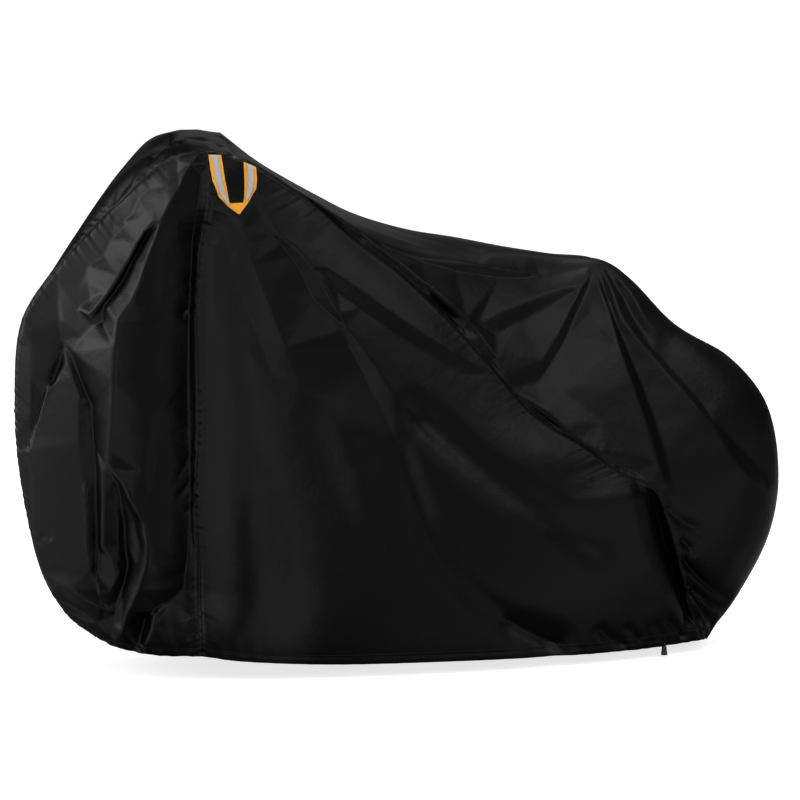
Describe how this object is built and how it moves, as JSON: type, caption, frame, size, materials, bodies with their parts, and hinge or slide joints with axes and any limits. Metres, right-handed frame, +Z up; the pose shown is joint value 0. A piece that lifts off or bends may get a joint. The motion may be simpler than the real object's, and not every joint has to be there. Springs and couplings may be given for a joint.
{
  "type": "bicycle cover",
  "caption": "Fitted dust and rain cover of black cloth panels for a bicycle, open below, with an orange hanging loop and an elastic hem.",
  "frame": {"origin": "underside of the cover's top where it rests on the handlebar, in the middle plane", "axes": "+X towards the rear wheel, +Z up, -Y towards the side with the hanging loop"},
  "size_m": [1.7692, 0.5887, 1.1882],
  "materials": {
    "cover_cloth": "tightly woven coated polyester, half gloss, creased",
    "loop_webbing": "ribbed orange webbing, matt",
    "reflective_tape": "grey reflective tape, satin",
    "hem_elastic": "braided elastic cord, matt",
    "cord_end_plastic": "moulded plastic, satin"
  },
  "bodies": {
    "root": {"near_side_panel": "cover_cloth", "far_side_panel": "cover_cloth", "near_front_panel": "cover_cloth", "far_front_panel": "cover_cloth", "front_gusset": "cover_cloth", "top_rear_panel": "cover_cloth", "hanging_loop": "loop_webbing", "loop_tape_front": "reflective_tape", "loop_tape_rear": "reflective_tape", "hem_cord": "hem_elastic", "hem_cord_end": "cord_end_plastic"}
  },
  "joints": []
}
